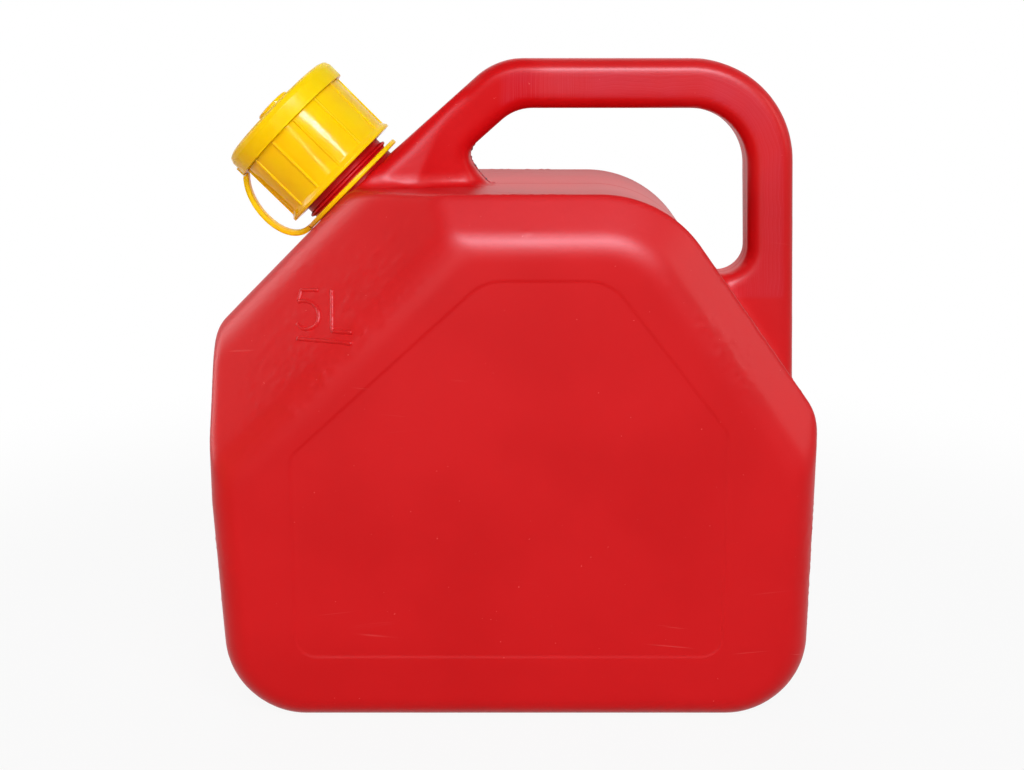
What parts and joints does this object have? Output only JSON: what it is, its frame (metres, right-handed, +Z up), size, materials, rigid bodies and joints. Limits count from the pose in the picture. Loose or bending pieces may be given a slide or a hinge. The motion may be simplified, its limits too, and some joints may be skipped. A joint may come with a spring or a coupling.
{
  "type": "jerrycan",
  "caption": "Small upright plastic jerrycan with a hollow loop handle, a slanted threaded neck and a ribbed screw cap held by a tether.",
  "frame": {"origin": "middle of the base, on the surface the can stands on", "axes": "+X from the neck side to the back of the handle, +Y from the front broad face to the rear one, +Z up"},
  "size_m": [0.2446, 0.138, 0.2633],
  "materials": {
    "can_red": "satin blow-moulded polyethylene",
    "cap_yellow": "glossy moulded polypropylene",
    "tether_yellow": "soft moulded polyethylene",
    "seal_black": "smooth fuel-proof rubber"
  },
  "bodies": {
    "can": {"can_body": "can_red"},
    "seal": {"cap_seal": "seal_black"},
    "cap": {"screw_cap": "cap_yellow"},
    "ring": {"tether_ring": "tether_yellow", "tether_strap": "tether_yellow"},
    "hood": {"tether_hood": "tether_yellow"}
  },
  "joints": [
    {"name": "cap_lift", "type": "slide", "parent": "can", "child": "seal", "axis": [-0.7071, 0, 0.7071], "range_m": [0, 0.01]},
    {"name": "cap_turn", "type": "hinge", "parent": "seal", "child": "cap", "pos_m": [-0.0668, 0, 0.2107], "axis": [-0.7071, 0, 0.7071], "range_deg": [0, 720]},
    {"name": "tether_spin", "type": "hinge", "parent": "can", "child": "ring", "pos_m": [-0.0668, 0, 0.2107], "axis": [-0.7071, 0, 0.7071], "continuous": true},
    {"name": "hood_lift", "type": "slide", "parent": "ring", "child": "hood", "axis": [-0.7071, 0, 0.7071], "range_m": [0, 0.01], "deforming": ["tether_strap"]}
  ],
  "couplings": [
    {"joint": "cap_lift", "follows": "cap_turn", "m_per_rad": 0.00079577},
    {"joint": "hood_lift", "follows": "cap_turn", "m_per_rad": 0.00079577}
  ]
}
